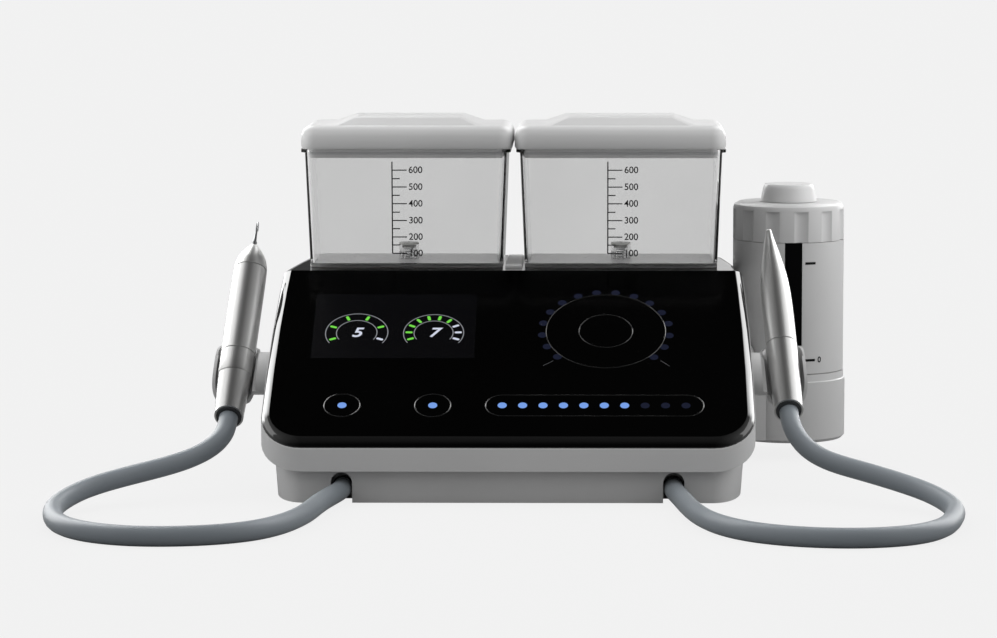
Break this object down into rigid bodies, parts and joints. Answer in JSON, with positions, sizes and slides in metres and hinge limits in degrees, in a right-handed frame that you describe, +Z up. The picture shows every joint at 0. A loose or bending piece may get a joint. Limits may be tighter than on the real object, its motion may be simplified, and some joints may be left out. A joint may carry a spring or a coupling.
{
  "type": "ultrasonic scaler and air polisher",
  "caption": "Table-top ultrasonic scaler and air polisher with a sloped touch panel, lift-off water tanks, a powder canister and handpieces on hoses in side cradles.",
  "frame": {"origin": "middle of the underside of the bottom cover, on the table", "axes": "+X to the user's right, +Y from the front to the rear, +Z up"},
  "size_m": [0.5458, 0.4158, 0.2261],
  "materials": {
    "housing": "fine satin",
    "gloss_black": "high gloss",
    "display": "gloss",
    "circuit_board": "lacquered",
    "sheet_metal": "satin",
    "dark_plastic": "satin",
    "rubber": "matt",
    "screw": "zinc plated",
    "hose": "silky silicone",
    "clear_tank": "clear gloss",
    "valve_steel": "bright",
    "valve_plastic": "natural",
    "dark_window": "tinted gloss",
    "collar": "matt",
    "handpiece_steel": "fine satin"
  },
  "bodies": {
    "base": {"lower_housing": "housing", "bottom_cover": "housing", "rubber_feet": "rubber", "bottom_screws": "screw", "upper_housing": "housing", "front_panel": "gloss_black", "display_module": "display", "touch_board": "circuit_board", "deck_cover": "gloss_black", "deck_divider": "housing", "control_board": "circuit_board", "power_supply": "sheet_metal", "left_water_pump": "sheet_metal", "right_water_pump": "sheet_metal", "air_valve_block": "sheet_metal", "air_regulator": "sheet_metal", "power_inlet": "dark_plastic", "switch_frame": "dark_plastic", "air_inlet": "screw", "pedal_socket": "screw", "left_tank_port": "housing", "right_tank_port": "housing", "left_hose_gland": "rubber", "right_hose_gland": "rubber", "left_holder": "housing", "right_holder": "housing", "side_screws": "screw", "canister_dock": "housing", "canister_port": "screw", "left_hose": "hose", "right_hose": "hose"},
    "switch_rocker": {"power_switch": "dark_plastic"},
    "left_tank": {"left_tank": "clear_tank", "left_valve_spring": "valve_steel", "left_valve_retainer": "valve_plastic"},
    "left_lid": {"left_tank_lid": "housing", "left_lid_seal": "rubber"},
    "left_plunger": {"left_valve_plunger": "valve_steel"},
    "right_tank": {"right_tank": "clear_tank", "right_valve_spring": "valve_steel", "right_valve_retainer": "valve_plastic"},
    "right_lid": {"right_tank_lid": "housing", "right_lid_seal": "rubber"},
    "right_plunger": {"right_valve_plunger": "valve_steel"},
    "canister": {"canister_body": "housing", "sight_window": "dark_window", "powder_tube": "valve_steel"},
    "cap_ring": {"cap_seal": "rubber"},
    "cap": {"canister_cap": "housing"},
    "knob": {"cap_knob": "housing"},
    "scaler": {"scaler_coupler": "handpiece_steel", "scaler_collar": "collar"},
    "scaler_front": {"scaler_sleeve": "handpiece_steel", "scaler_transducer": "valve_steel"},
    "scaler_nose": {"scaler_nose": "handpiece_steel"},
    "scaler_tip": {"scaler_tip": "handpiece_steel"},
    "polisher": {"polisher_coupler": "handpiece_steel", "polisher_collar": "collar"},
    "polisher_front": {"polisher_nozzle": "handpiece_steel", "polisher_tube": "valve_steel"}
  },
  "joints": [
    {"name": "switch_rock", "type": "hinge", "parent": "base", "child": "switch_rocker", "pos_m": [-0.035, 0.1225, 0.04], "axis": [-1, 0, 0], "range_deg": [0, 16]},
    {"name": "left_tank_lift", "type": "slide", "parent": "base", "child": "left_tank", "axis": [0, 0, 1], "range_m": [0, 0.12]},
    {"name": "left_lid_lift", "type": "slide", "parent": "left_tank", "child": "left_lid", "axis": [0, 0, 1], "range_m": [0, 0.06]},
    {"name": "left_valve_push", "type": "slide", "parent": "left_tank", "child": "left_plunger", "axis": [0, 0, 1], "range_m": [0, 0.002], "stiffness_N_per_m": 300, "springref_m": -0.003, "deforming": ["left_valve_spring"]},
    {"name": "right_tank_lift", "type": "slide", "parent": "base", "child": "right_tank", "axis": [0, 0, 1], "range_m": [0, 0.12]},
    {"name": "right_lid_lift", "type": "slide", "parent": "right_tank", "child": "right_lid", "axis": [0, 0, 1], "range_m": [0, 0.06]},
    {"name": "right_valve_push", "type": "slide", "parent": "right_tank", "child": "right_plunger", "axis": [0, 0, 1], "range_m": [0, 0.002], "stiffness_N_per_m": 300, "springref_m": -0.003, "deforming": ["right_valve_spring"]},
    {"name": "canister_lift", "type": "slide", "parent": "base", "child": "canister", "axis": [0, 0, 1], "range_m": [0, 0.15]},
    {"name": "cap_lift", "type": "slide", "parent": "canister", "child": "cap_ring", "axis": [0, 0, 1], "range_m": [0, 0.05]},
    {"name": "cap_turn", "type": "hinge", "parent": "cap_ring", "child": "cap", "pos_m": [0.1812, 0.086, 0.156], "axis": [0, 0, 1], "continuous": true},
    {"name": "knob_turn", "type": "hinge", "parent": "cap", "child": "knob", "pos_m": [0.1812, 0.086, 0.172], "axis": [0, 0, 1], "range_deg": [0, 90]},
    {"name": "scaler_lift", "type": "slide", "parent": "base", "child": "scaler", "axis": [0.056, -0.766, 0.6403], "range_m": [0, 0.08], "deforming": ["left_hose"]},
    {"name": "scaler_sleeve_pull", "type": "slide", "parent": "scaler", "child": "scaler_front", "axis": [0.0668, 0.6428, 0.7631], "range_m": [0, 0.05]},
    {"name": "scaler_nose_turn", "type": "hinge", "parent": "scaler_front", "child": "scaler_nose", "pos_m": [-0.16812, 0.01456, 0.13645], "axis": [0.0668, 0.6428, 0.7631], "continuous": true},
    {"name": "scaler_tip_turn", "type": "hinge", "parent": "scaler_front", "child": "scaler_tip", "pos_m": [-0.16746, 0.02099, 0.14409], "axis": [0.0668, 0.6428, 0.7631], "continuous": true},
    {"name": "polisher_lift", "type": "slide", "parent": "base", "child": "polisher", "axis": [-0.056, -0.766, 0.6403], "range_m": [0, 0.08], "deforming": ["right_hose"]},
    {"name": "nozzle_pull", "type": "slide", "parent": "polisher", "child": "polisher_front", "axis": [-0.0668, 0.6428, 0.7631], "range_m": [0, 0.03]}
  ]
}
